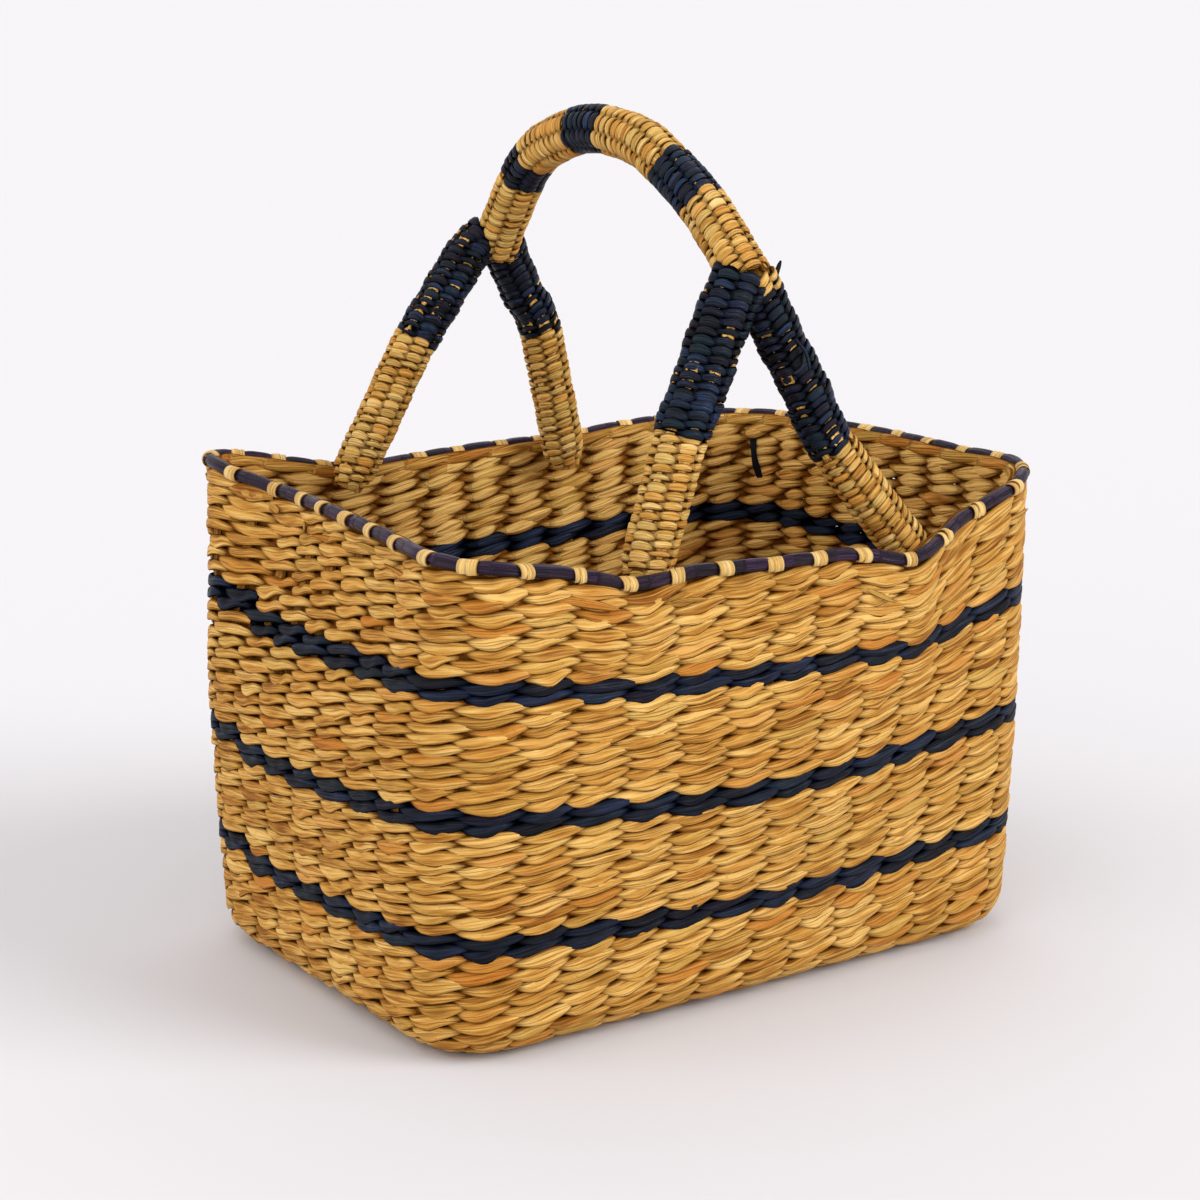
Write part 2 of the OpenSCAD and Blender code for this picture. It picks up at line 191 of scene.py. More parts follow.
def wall_point(s, v):
    """Middle of the wall: the outline, inset by a quarter circle at the base and moved out by the drift."""
    s, v = np.broadcast_arrays(np.mod(np.asarray(s, float), 4), np.asarray(v, float))
    rim = closed_curve(RIM_DRIFT, s * 4)
    shoulder = closed_curve(SHOULDER_DRIFT, s * 2)
    d = v * climb
    a = np.minimum(d / turn_r, PI / 2)
    z = mid_z + turn_r * (1 - np.cos(a)) + np.maximum(d - bend, 0)
    h = (z - mid_z) / (rim_h - mid_z)
    low = np.sin(PI / 2 * np.minimum(h / shoulder_h, 1))
    high = smooth((h - 0.6) / 0.4)
    drift = shoulder * low[..., None] + (rim - shoulder) * high[..., None]
    push = foot_press(s, 1) * high - turn_r * (1 - np.sin(a)) - wall_t / 2
    xy = base_outline(s) + drift[..., :2] + outward(s) * push[..., None]
    return np.concatenate([xy, (z + drift[..., 2] - foot_press(s, 2) * high)[..., None]], -1)


def wall_normal(s, v):
    """Unit cross product of the wall's slopes along s and up v."""
    across = wall_point(s + 0.01, v) - wall_point(s - 0.01, v)
    up = wall_point(s, np.minimum(v + 0.01, 1)) - wall_point(s, np.maximum(v - 0.01, 0))
    return unit(np.cross(across, up))


def stake_place(u):
    """Place s for u counted in stake gaps round the wall from the near left corner."""
    u = np.mod(u, ROUND_STAKES)
    starts = np.concatenate([[0], np.cumsum(SIDE_STAKES)])
    return np.interp(u, starts, np.arange(5))


def row_height(rows):
    """Wall height v for a height counted in rows."""
    return np.interp(rows, ROW_ENDS, BAND_TOPS)


def row_pitch(rows):
    """Height of one row in mm near a height counted in rows, eased between bands."""
    return (row_height(rows + 1) - row_height(rows - 1)) * climb / (
        np.minimum(rows + 1, ALL_ROWS) - np.maximum(rows - 1, 0))


# ---- Strands ----

def strand(points, facing, half_width, half_thick, sides=10, crease=0.0, roll=0.0, flat=0.75):
    """A flattened straw strand: a squared oval ring at every point, wide across the path and thin along
    the direction it faces, with shallow creases of height crease round the ring."""
    tangent = unit(np.gradient(points, axis=0))
    wide = unit(np.cross(facing, tangent))
    thin = np.cross(tangent, wide)
    turn = np.broadcast_to(roll, len(points))[:, None]
    wide, thin = wide * np.cos(turn) - thin * np.sin(turn), thin * np.cos(turn) + wide * np.sin(turn)
    a = PI + 2 * PI * np.arange(sides) / sides
    ripple = 1 + crease * np.cos(5 * a + 1.0)
    x = np.sign(np.cos(a)) * np.abs(np.cos(a)) ** flat
    y = np.sign(np.sin(a)) * np.abs(np.sin(a)) ** flat * ripple
    half_width = np.broadcast_to(half_width, len(points))[:, None, None]
    half_thick = np.broadcast_to(half_thick, len(points))[:, None, None]
    ring = wide[:, None] * x[None, :, None] * half_width + thin[:, None] * y[None, :, None] * half_thick
    return points[:, None] + ring


def length_along(points):
    """Running length of a path in mm."""
    return np.concatenate([[0], np.cumsum(np.linalg.norm(np.diff(points, axis=0), axis=1))])


def cord(grid, along, shade, hue, depth, edge=0.8):
    """One strand ready for a piece: its rings, its length and its tone at each ring or vertex. Depth sets
    the painted shade: it falls by edge towards the strand's two thin edges, as the sixth power of a cosine
    round the ring, so that painted shade lines the edges where strands meet."""
    n, m = grid.shape[:2]
    if edge:
        edge_shading = 1 - edge * np.abs(np.cos(2 * PI * np.arange(m) / m)) ** 6
        depth = (depth if np.ndim(depth) == 2 else np.reshape(depth, (-1, 1))) * edge_shading
    tone = [np.broadcast_to(v if np.ndim(v) == 2 else np.reshape(v, (-1, 1)), (n, m))
            for v in (shade, hue, depth)]
    return {"grid": grid, "along": along, "tone": np.stack(tone, -1)}


def even(value, like):
    """One number repeated for every ring of a strand."""
    return value + 0 * like


def make_piece(name, cords, material, slot, *nodes):
    """Joins closed tubes into one mesh: a quad between each two rings, a cap at each end, faces outward.
    The map strand_uv holds length in tenths of a metre and the part of the way round. Nothing goes
    below the surface that the basket stands on."""
    points, quads, caps, uvs, cap_uvs, tones = [], [], [], [], [], []
    start = 0
    for c in cords:
        n, m = c["grid"].shape[:2]
        i, j = np.meshgrid(np.arange(n - 1), np.arange(m), indexing="ij")
        k = (j + 1) % m
        ring = np.stack([i * m + j, i * m + k, (i + 1) * m + k, (i + 1) * m + j], -1)
        quads.append(start + ring.reshape(-1, 4))
        far = c["along"] / 100
        u = np.stack([far[i], far[i], far[i + 1], far[i + 1]], -1)
        v = np.stack([j, j + 1, j + 1, j], -1) / m
        uvs.append(np.stack([u, v], -1).reshape(-1, 2))
        caps.append(start + np.arange(m))
        caps.append(start + (n - 1) * m + np.arange(m)[::-1])
        cap_uvs.append(np.stack([np.full(2 * m, far[0]), np.tile(np.arange(m) / m, 2)], -1))
        points.append(c["grid"].reshape(-1, 3))
        tones.append(c["tone"].reshape(-1, 3))
        start += n * m
    points = np.concatenate(points) * MM
    points[:, 2] = np.maximum(points[:, 2], 0.0)
    quads = np.concatenate(quads)
    corners = np.concatenate([quads.ravel()] + caps)
    sizes = np.concatenate([np.full(len(quads), 4), [len(c) for c in caps]])
    mesh = bpy.data.meshes.new(name)
    mesh.vertices.add(len(points))
    mesh.vertices.foreach_set("co", points.astype(np.float32).ravel())
    mesh.loops.add(len(corners))
    mesh.loops.foreach_set("vertex_index", corners.astype(np.int32))
    mesh.polygons.add(len(sizes))
    mesh.polygons.foreach_set("loop_start", (np.cumsum(sizes) - sizes).astype(np.int32))
    mesh.polygons.foreach_set("use_smooth", np.ones(len(sizes), bool))
    mesh.update(calc_edges=True)
    layer = mesh.uv_layers.new(name="strand_uv")
    layer.data.foreach_set("uv", np.concatenate(uvs + cap_uvs).astype(np.float32).ravel())
    tones = np.concatenate(tones).astype(np.float32)
    for index, word in enumerate(("shade", "hue", "depth")):
        values = mesh.attributes.new(word, "FLOAT", "POINT")
        values.data.foreach_set("value", np.ascontiguousarray(tones[:, index]))
    mesh.validate()
    mesh.materials.append(material)
    piece = bpy.data.objects.new(name, mesh)
    bpy.context.scene.collection.objects.link(piece)
    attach(piece, "root")
    if nodes:
        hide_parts(*nodes)
    return piece


# ---- Twined walls ----

samples = 10  # rings to one stake gap
lag = 0.12  # how much later than it crosses a strand leaves the outer face, in radians
swing_flat = 1.2  # how flat the swing is where it lies on a stake
spiral_lift = 0.35  # rows
colour_change = 0.66  # stake gaps from the stake, out of sight behind the next strand
inner_reach = 2.8  # how far a strand lies from the wall's middle on the inside
outer_reach = 3.3
crossing_thick = 2.4  # half the thickness between two stakes
outer_thinning = 1.35  # thinner than that over a stake, outside and inside
inner_thinning = 0.5
splice_turns = 9  # stakes from one splice to the next
inside_painted_light = 2.8  # steps of shade; painted light: the strands on the inner face are made paler to lighten the inside
TURNS = ROUND_STAKES * (ALL_ROWS + 2)
turn_shade = rng.normal(0, 1, (2, TURNS))
turn_hue = rng.random((2, TURNS))
turn_width = rng.normal(0, 1, (2, TURNS))
turn_lift = rng.normal(0, 1, (2, TURNS))
turn_rise = rng.normal(0, 1, (2, TURNS))
splice_shade = rng.normal(0, 1, (2, TURNS // splice_turns + 2))
splice_hue = rng.random((2, TURNS // splice_turns + 2))


def wall_strand(k, first_row, last_row):
    """Strand k of the two that twine round the stakes, from one row to another of the rising spiral.
    It swings out and in as a flattened cosine of the stake gaps and rises as a sine where the two
    cross. Over a stake it sags, widens and thins as a cosine squared."""
    rounds = last_row - first_row
    t = first_row + np.linspace(0, rounds, rounds * ROUND_STAKES * samples + 1)
    hair = 0.0004
    t = np.clip(t, first_row + hair, last_row - hair)
    rows = np.where(t < 1, 0.5 + t * (0.5 + spiral_lift), t + spiral_lift)
    top = ALL_ROWS - 1
    rows = np.where(t > top, top + spiral_lift + (t - top) * (0.5 - spiral_lift), rows)
    u = spiral_start + t * ROUND_STAKES
    phase = PI * (u - 0.5) + k * PI
    centre = phase / PI - spiral_start + 1
    over_stake = 2 * np.round(phase / PI / 2)
    past = phase / PI - over_stake
    next_turn = np.where(np.abs(past) < colour_change, 0, np.sign(past))
    turn = (over_stake + next_turn).astype(int) - spiral_start + 1
    pitch = row_pitch(rows)
    outside = 0.5 + 0.5 * np.cos(phase)
    over = np.cos(phase) ** 2
    swing = np.tanh(swing_flat * np.cos(phase - lag)) / np.tanh(swing_flat) + 0.24 * (1 - over)
    width_noise = np.interp(centre, np.arange(TURNS), turn_width[k])
    lift_noise = np.interp(centre, np.arange(TURNS), turn_lift[k])
    rise = 0.28 + 0.02 * np.interp(centre, np.arange(TURNS), turn_rise[k])
    v = row_height(rows)
    wobble = 0.010 * np.sin(rows * 0.7 + u * 0.9) + 0.008 * np.sin(rows * 0.31 + u * 2.1)
    s = stake_place(u + wobble * SIDE_STAKES[0])
    sag = 0.8 + 0.35 * np.cos(PI * (s - 0.5))
    lift = rise * pitch * np.sin(phase) - sag * (over - 0.5) * outside + 0.35 * lift_noise * over
    v = np.clip(v + lift / climb, 0.004, 0.997)
    normal = wall_normal(s, v)
    middle = wall_point(s, v)
    reach = inner_reach + (outer_reach - inner_reach) * outside
    points = middle + normal * (reach * swing + 0.25 * lift_noise * outside)[:, None]
    spread = 0.38 + 0.29 * over ** 0.7
    half_width = pitch * spread * np.clip(1 + 0.16 * width_noise * over, 0.8, 1.45)
    half_thick = crossing_thick - (outer_thinning * outside + inner_thinning * (1 - outside)) * over
    roll = 0.06 + 0.22 * over * outside
    grid = strand(points, normal, half_width, half_thick, crease=0.12, roll=roll, flat=0.9)
    # Depth is how far out from the wall's middle the surface lies; where it is low the finish paints shade.
    depth = np.abs(np.einsum("ijk,ik->ij", grid - middle[:, None], normal)) / (wall_t / 2)
    splice = turn // splice_turns
    shade = 0.7 * turn_shade[k][turn] + 0.4 * splice_shade[k][splice]
    # Wide strands are paler; on the inner face each strand is also made paler, as painted light.
    shade = shade + 0.8 * np.maximum(turn_width[k][turn] - 1, 0) + inside_painted_light * (1 - outside)
    hue = 0.6 * turn_hue[k][turn] + 0.4 * splice_hue[k][splice]
    return cord(grid, length_along(points), shade, hue, np.clip(depth, 0, 1))


# ---- Materials ----

def node_group(name, inputs, outputs):
    """An empty shader group with named inputs (type, name, default) and outputs (type, name)."""
    tree = bpy.data.node_groups.new(name, "ShaderNodeTree")
    for kind, label, default in inputs:
        socket = tree.interface.new_socket(name=label, in_out="INPUT", socket_type=kind)
        if default is not None:
            socket.default_value = default
    for kind, label in outputs:
        tree.interface.new_socket(name=label, in_out="OUTPUT", socket_type=kind)
    return tree, tree.nodes.new("NodeGroupInput"), tree.nodes.new("NodeGroupOutput")


def number_inputs(**defaults):
    """The inputs of a group that are plain numbers, by name and default."""
    return [("NodeSocketFloat", label, value) for label, value in defaults.items()]


def math_node(tree, operation, a, b=None, c=None):
    """A Math node fed by sockets or numbers; gives its output."""
    node = tree.nodes.new("ShaderNodeMath")
    node.operation = operation
    for socket, value in zip(node.inputs, (a, b, c)):
        if value is None:
            continue
        if isinstance(value, (int, float)):
            socket.default_value = value
        else:
            tree.links.new(value, socket)
    return node.outputs[0]


def colour_mix(tree, factor, a, b):
    """A colour Mix node; factor is a socket, a and b are sockets or colours."""
    node = tree.nodes.new("ShaderNodeMix")
    node.data_type = "RGBA"
    for socket, value in ((node.inputs[0], factor), (node.inputs[6], a), (node.inputs[7], b)):
        if isinstance(value, tuple):
            socket.default_value = value
        else:
            tree.links.new(value, socket)
    return node.outputs[2]


def remap(tree, value, low, high, to_low=0.0, to_high=1.0):
    """A Map Range node, clamped."""
    node = tree.nodes.new("ShaderNodeMapRange")
    tree.links.new(value, node.inputs[0])
    for socket, number in zip(node.inputs[1:5], (low, high, to_low, to_high)):
        socket.default_value = number
    return node.outputs[0]


def fibre_group():
    """Lengthwise fibres: noise stretched along the strand and slanted by Twist. Folds are the thin lines
    where a slow noise crosses its middle value, and Flecks are the peaks of a short one."""
    tree, given, out = node_group(
        "straw_fibres",
        [("NodeSocketVector", "Strand", None)] + number_inputs(Along=30.0, Across=14.0, Twist=1.0, Seed=0.0),
        [("NodeSocketFloat", word) for word in ("Streaks", "Height", "Flecks", "Folds")])
    parts = tree.nodes.new("ShaderNodeSeparateXYZ")
    tree.links.new(given.outputs["Strand"], parts.inputs[0])
    along = math_node(tree, "MULTIPLY", parts.outputs[0], given.outputs["Along"])
    slant = math_node(tree, "MULTIPLY", parts.outputs[0], given.outputs["Twist"])
    slanted = math_node(tree, "ADD", parts.outputs[1], slant)
    across = math_node(tree, "MULTIPLY", slanted, given.outputs["Across"])
    seed = math_node(tree, "MULTIPLY", given.outputs["Seed"], 31.0)

    def stretched(long_scale, cross_scale, shift, detail=2.0):
        joined = tree.nodes.new("ShaderNodeCombineXYZ")
        tree.links.new(math_node(tree, "MULTIPLY", along, long_scale), joined.inputs[0])
        tree.links.new(math_node(tree, "MULTIPLY", across, cross_scale), joined.inputs[1])
        tree.links.new(math_node(tree, "ADD", seed, shift), joined.inputs[2])
        noise = tree.nodes.new("ShaderNodeTexNoise")
        noise.inputs["Scale"].default_value = 1.0
        noise.inputs["Detail"].default_value = detail
        tree.links.new(joined.outputs[0], noise.inputs["Vector"])
        return noise.outputs[0]

    fine = stretched(1.0, 1.3, 0.0)
    broad = stretched(0.6, 0.4, 3.1)
    folds = stretched(0.10, 0.55, 5.7, 0.0)
    flecks = stretched(7.0, 0.8, 9.4)
    streaks = math_node(tree, "MULTIPLY_ADD", fine, 0.6, math_node(tree, "MULTIPLY", broad, 0.4))
    tree.links.new(remap(tree, streaks, 0.36, 0.64), out.inputs["Streaks"])
    middle = math_node(tree, "ABSOLUTE", math_node(tree, "SUBTRACT", folds, 0.5))
    tree.links.new(remap(tree, middle, 0.0, 0.028, 1, 0), out.inputs["Folds"])
    ridge = remap(tree, fine, 0.25, 0.75)
    groove = math_node(tree, "MULTIPLY", remap(tree, middle, 0.0, 0.04, 1, 0), 0.6)
    tree.links.new(math_node(tree, "SUBTRACT", ridge, groove), out.inputs["Height"])
    tree.links.new(remap(tree, flecks, 0.66, 0.76), out.inputs["Flecks"])
    return tree


COLOUR_ORDER = ("Dark", "Middle", "Light", "Warm", "Cool", "Shadow")


def tone_group():
    """Colour of one strand: dark to light by its shade and fibres, pulled to a warm or a cool tint by
    its hue, and darkened towards Shadow, as painted shade, where it dives behind its neighbours."""
    tree, given, out = node_group(
        "strand_tone",
        [("NodeSocketColor", label, None) for label in COLOUR_ORDER]
        + number_inputs(Shade=0.0, Hue=0.5, Depth=1.0, Streaks=0.5, Flecks=0.0, Folds=0.0),
        [("NodeSocketColor", "Colour")])
    level = math_node(tree, "MULTIPLY_ADD", given.outputs["Shade"], 0.17, 0.5)
    fibre = math_node(tree, "MULTIPLY_ADD", given.outputs["Streaks"], 0.8, -0.4)
    level = math_node(tree, "ADD", level, fibre)
    tone = colour_mix(tree, remap(tree, level, 0.0, 0.5), given.outputs["Dark"], given.outputs["Middle"])
    tone = colour_mix(tree, remap(tree, level, 0.5, 1.0), tone, given.outputs["Light"])
    warmth = remap(tree, given.outputs["Hue"], 0.66, 0.98, 0, 0.7)
    tone = colour_mix(tree, warmth, tone, given.outputs["Warm"])
    coolness = remap(tree, given.outputs["Hue"], 0.30, 0.08, 0, 0.5)
    tone = colour_mix(tree, coolness, tone, given.outputs["Cool"])
    # Flecks are dark spots in the straw; Folds are thin lines, also grooves in the relief, darkened towards
    # Dark.
    for mark, strength in (("Flecks", 0.35), ("Folds", 0.75)):
        darkening = math_node(tree, "MULTIPLY", given.outputs[mark], strength)
        tone = colour_mix(tree, darkening, tone, given.outputs["Dark"])
    # Painted shade: towards Shadow where Depth is low.
    painted_shade = remap(tree, given.outputs["Depth"], 0.88, 0.36, 0, 0.92)
    tone = colour_mix(tree, painted_shade, tone, given.outputs["Shadow"])
    tree.links.new(tone, out.inputs["Colour"])
    return tree


fibres = fibre_group()
tones = tone_group()


def strand_material(name, colours, along=5.0, across=14.0, twist=0.10, rough=(0.5, 0.7), specular=0.18):
    """A straw finish: six colours in COLOUR_ORDER, fibres by length and round the strand, roughness on
    light and dark fibres, and a shine that fades to nothing where the strand dives, as painted shade on its
    reflection."""
    material = bpy.data.materials.new(name)
    material.use_nodes = True
    tree = material.node_tree
    shader = tree.nodes["Principled BSDF"]
    where = tree.nodes.new("ShaderNodeUVMap")
    where.uv_map = "strand_uv"
    values = {}
    for word in ("shade", "hue", "depth"):
        node = tree.nodes.new("ShaderNodeAttribute")
        node.attribute_name = word
        values[word] = node.outputs["Fac"]
    grain = tree.nodes.new("ShaderNodeGroup")
    grain.node_tree = fibres
    tree.links.new(where.outputs[0], grain.inputs["Strand"])
    grain.inputs["Along"].default_value = along
    grain.inputs["Across"].default_value = across
    grain.inputs["Twist"].default_value = twist
    tree.links.new(values["hue"], grain.inputs["Seed"])
    tone = tree.nodes.new("ShaderNodeGroup")
    tone.node_tree = tones
    for label, colour in zip(COLOUR_ORDER, colours):
        tone.inputs[label].default_value = (*colour, 1)
    for word, value in values.items():
        tree.links.new(value, tone.inputs[word.capitalize()])
    for label in ("Streaks", "Flecks", "Folds"):
        tree.links.new(grain.outputs[label], tone.inputs[label])
    tree.links.new(tone.outputs[0], shader.inputs["Base Color"])
    roughness = remap(tree, grain.outputs["Streaks"], 0, 1, rough[1], rough[0])
    tree.links.new(roughness, shader.inputs["Roughness"])
    relief = tree.nodes.new("ShaderNodeBump")
    relief.inputs["Strength"].default_value = 0.8
    relief.inputs["Distance"].default_value = 0.0009
    tree.links.new(grain.outputs["Height"], relief.inputs["Height"])
    tree.links.new(relief.outputs[0], shader.inputs["Normal"])
    # The shine fades where Depth is low, as painted shade on the reflection.
    shine = remap(tree, values["depth"], 0.45, 0.95, 0.0, specular)
    tree.links.new(shine, shader.inputs["Specular IOR Level"])
    return material


# Palettes, each in COLOUR_ORDER; the last colour, Shadow, is the painted shade where strands dive
STRAW = ((0.25, 0.080, 0.006), (0.58, 0.280, 0.045), (0.82, 0.505, 0.145), (0.53, 0.17, 0.015),
         (0.53, 0.325, 0.062), (0.14, 0.036, 0.002))
HANDLE_STRAW = ((0.36, 0.14, 0.018), (0.68, 0.375, 0.080), (0.88, 0.61, 0.23), (0.62, 0.27, 0.040),
                (0.58, 0.40, 0.11), (0.14, 0.042, 0.004))
PALE = ((0.52, 0.27, 0.060), (0.76, 0.49, 0.16), (0.88, 0.66, 0.31), (0.72, 0.42, 0.12),
        (0.64, 0.50, 0.22), (0.18, 0.07, 0.012))
# In the two navy palettes the Light colour is partly the dyed straw's lighter fibres and partly painted
# sheen.
NAVY = ((0.002, 0.002, 0.003), (0.0045, 0.006, 0.013), (0.012, 0.022, 0.055), (0.005, 0.013, 0.016),
        (0.009, 0.006, 0.017), (0.001, 0.001, 0.0015))
NAVY_WRAP = ((0.003, 0.003, 0.005), (0.0070, 0.0095, 0.018), (0.017, 0.036, 0.090), (0.006, 0.017, 0.022),
             (0.012, 0.009, 0.022), (0.0015, 0.0015, 0.002))
PLUM = ((0.007, 0.003, 0.008), (0.013, 0.0042, 0.017), (0.050, 0.016, 0.064), (0.024, 0.006, 0.019),
        (0.010, 0.007, 0.028), (0.003, 0.001, 0.003))

straw = strand_material("straw", STRAW)
handle_straw = strand_material("handle_straw", HANDLE_STRAW, along=9, across=11, twist=0.05)
pale_straw = strand_material("pale_straw", PALE, along=8, across=16, twist=0.0, rough=(0.45, 0.6))
navy_straw = strand_material("navy_straw", NAVY, rough=(0.36, 0.6), specular=0.14)
navy_wrap = strand_material("navy_wrap", NAVY_WRAP, along=9, across=11, twist=0.05, rough=(0.32, 0.55),
                            specular=0.16)
plum_roll = strand_material("plum_roll", PLUM, along=2.5, across=26, twist=0.01, rough=(0.25, 0.45),
                            specular=0.22)


def hidden_straw(name, colour, light):
    """Straw of the stakes and bundles inside the weave: noise on Object coordinates, stretched upright."""
    material = bpy.data.materials.new(name)
    material.use_nodes = True
    tree = material.node_tree
    shader = tree.nodes["Principled BSDF"]
    where = tree.nodes.new("ShaderNodeTexCoord")
    turn = tree.nodes.new("ShaderNodeMapping")
    turn.inputs["Scale"].default_value = (900, 900, 60)
    noise = tree.nodes.new("ShaderNodeTexNoise")
    noise.inputs["Scale"].default_value = 1.0
    tree.links.new(where.outputs["Object"], turn.inputs["Vector"])
    tree.links.new(turn.outputs[0], noise.inputs["Vector"])
    mixed = colour_mix(tree, remap(tree, noise.outputs[0], 0.3, 0.7), (*colour, 1), (*light, 1))
    tree.links.new(mixed, shader.inputs["Base Color"])
    tree.links.new(remap(tree, noise.outputs[0], 0.3, 0.7, 0.85, 0.6), shader.inputs["Roughness"])
    shader.inputs["Specular IOR Level"].default_value = 0.05
    return material


# The stakes' straw is made darker than the strands round them: painted shade for the narrow gaps where they
# show.
stake_straw = hidden_straw("stake_straw", (0.17, 0.06, 0.008), (0.36, 0.17, 0.035))
core_straw = hidden_straw("core_straw", (0.24, 0.10, 0.015), (0.46, 0.24, 0.06))

# ---- Walls ----

for band in range(len(BAND_ROWS)):
    dyed = band % 2 == 1
    cords = [wall_strand(k, int(ROW_ENDS[band]), int(ROW_ENDS[band + 1])) for k in (0, 1)]
    if dyed:
        node = f"navy_stripe_{band // 2 + 1}"
        make_piece(node + "_weave", cords, navy_straw, "navy_straw", node)
    else:
        node = f"wall_band_{band // 2 + 1}"
        make_piece(node + "_weave", cords, straw, "straw", node)

# ---- Base ----

mat_r = corner_r - turn_r - wall_t / 2
mat_overlap = 2.6  # how far the base's strands reach in under the wall's first row
base_row = 6.0  # about the width of a row
base_swing = 1.7  # how flat a base strand's swing is where it lies on a stake
BASE_TURNS = 48  # enough tones for the longest row
mid_turn = 20  # counts a row's turns up from its left end
stake_gap = (long_run + 2 * half_arc) / SIDE_STAKES[0]


def base_rows():
    """Rows across the base: each pair of strands swings over and under the cross stakes as a cosine of
    x, and crosses sideways as a sine. A row's half length follows the base's rounded corners."""
    edge_r = mat_r + mat_overlap
    rows = int(round((short_run + 2 * edge_r) / base_row))
    pitch = (short_run + 2 * edge_r) / rows
    made = []
    for row in range(rows):
        y = -short_run / 2 - edge_r + (row + 0.5) * pitch
        past = max(abs(y) - short_run / 2, 0)
        half = long_run / 2 + np.sqrt(edge_r ** 2 - past ** 2)
        x = np.linspace(-half, half, int(2 * half / stake_gap * samples) + 1)
        for k in (0, 1):
            phase = PI * x / stake_gap + k * PI
            lean = np.tanh(base_swing * np.cos(phase - 0.3)) / np.tanh(base_swing)
            over = np.cos(phase) ** 2
            turn = np.floor(phase / PI + 0.5).astype(int) + mid_turn
            shades = rng.normal(0, 0.8, BASE_TURNS)
            hues = rng.random(BASE_TURNS)
            widths = rng.normal(0, 1, BASE_TURNS)
            drift = 0.4 * np.interp(phase / PI + mid_turn, np.arange(BASE_TURNS), widths)
            side = y + 0.27 * pitch * np.sin(phase) + drift
            points = np.stack([x, side, mid_z + (base_t / 2 - 1.75) * lean], 1)
            width = pitch * (0.33 + 0.24 * over) * np.clip(1 + 0.12 * widths[turn], 0.75, 1.3)
            facing = np.broadcast_to([0.0, 0.0, 1.0], points.shape)
            grid = strand(points, facing, width, 1.6, crease=0.1)
            # Depth by height from the base's middle; where it is low the finish paints shade.
            depth = np.clip(np.abs(grid[..., 2] - mid_z) / (base_t / 2), 0, 1)
            made.append(cord(grid, length_along(points), shades[turn], hues[turn], depth))
    return made


make_piece("base_weave", base_rows(), straw, "straw", "base_lower_weave", "base_upper_weave")

# ---- Rim ----

roll_r = 3.3
roll_out = 2.2
roll_up = 3.0
filler_out = -2.6
filler_up = 1.6
STAKE_U = np.arange(ROUND_STAKES) + 0.5
LASH_U = STAKE_U - 0.42 + rng.normal(0, 0.06, ROUND_STAKES)
LASH_WIDTH = np.clip(rng.normal(8.6, 0.8, ROUND_STAKES), 6.8, 10.4)
LASH_SLANT = rng.normal(0, 0.9, ROUND_STAKES)


def rim_line(s, out, up):
    """A line beside the rim: the wall's top edge, moved out along its normal and up."""
    return wall_point(s, 1) + wall_normal(s, 1) * np.reshape(out, (-1, 1)) + np.stack(
        [0 * s, 0 * s, up + 0 * s], 1)


def rim_places(u):
    """Places s for u, its last one the same as its first, so that a roll round the rim closes."""
    s = stake_place(u[:-1])
    return np.concatenate([s, s[:1]])


def from_lashing(u):
    """Distance in stake gaps from the nearest lashing, round the closed rim."""
    gaps = np.abs(u[:, None] - LASH_U[None])
    return np.minimum(gaps, ROUND_STAKES - gaps).min(1)


def rim_rolls():
    """The plum roll: a round bundle with lengthwise ridges, thinner and lower under each lashing."""
    u = np.linspace(0, ROUND_STAKES, ROUND_STAKES * 14 + 1)
    s = rim_places(u)
    near = np.exp(-((from_lashing(u) / 0.17) ** 2))
    radius = roll_r * (1.06 - 0.26 * near)
    swell = rng.normal(0, 1, ROUND_STAKES)
    swell = np.interp(u, np.arange(ROUND_STAKES + 1), np.append(swell, swell[0]))
    points = rim_line(s, roll_out + 0.3 * swell, roll_up + 1.0 * (1 - near) + 0.3 * swell)
    normal = wall_normal(s, 1.0)
    sides = 16
    a = PI + 2 * PI * np.arange(sides) / sides
    ridges = 1 + 0.035 * np.cos(6 * a + 0.8 * u[:, None]) + 0.02 * np.cos(11 * a - 1.7 * u[:, None])
    tangent = np.gradient(points, axis=0)
    tangent[0] = tangent[-1] = (points[1] - points[0] + points[-1] - points[-2]) / 2
    tangent = unit(tangent)
    wide = unit(np.cross(normal, tangent))
    thin = np.cross(tangent, wide)
    ring = wide[:, None] * np.cos(a)[None, :, None] + thin[:, None] * np.sin(a)[None, :, None]
    grid = points[:, None] + ring * (radius[:, None] * ridges)[..., None]
    turn = np.floor(u - 0.5).astype(int) % ROUND_STAKES
    shades = rng.normal(0, 0.8, ROUND_STAKES)
    hues = 0.25 + 0.5 * rng.random(ROUND_STAKES)
    return [cord(grid, length_along(points), shades[turn], hues[turn], even(1.0, u), edge=0)]


def rim_fillers():
    """Two plump strands laid round each other on the rim's inner edge: each circles the line once in
    two stake gaps, half a turn apart, so that its slanting turns stand over the rows below."""
    u = np.linspace(0, ROUND_STAKES, ROUND_STAKES * 10 + 1)
    s = rim_places(u)
    made = []
    for k in (0, 1):
        a = PI * u + k * PI
        points = rim_line(s, filler_out - 1.2 * np.cos(a), filler_up - 1.0 * np.sin(a))
        facing = -wall_normal(s, 1.0)
        width = 2.5 + 0.7 * np.cos(a) ** 2
        grid = strand(points, facing, width, 1.9, crease=0.1)
        shades = rng.normal(0, 0.8, ROUND_STAKES + 2)
        hues = rng.random(ROUND_STAKES + 2)
        turn = np.floor(u + 0.5).astype(int)
        made.append(cord(grid, length_along(points), shades[turn], hues[turn], even(1.0, u)))
    return made


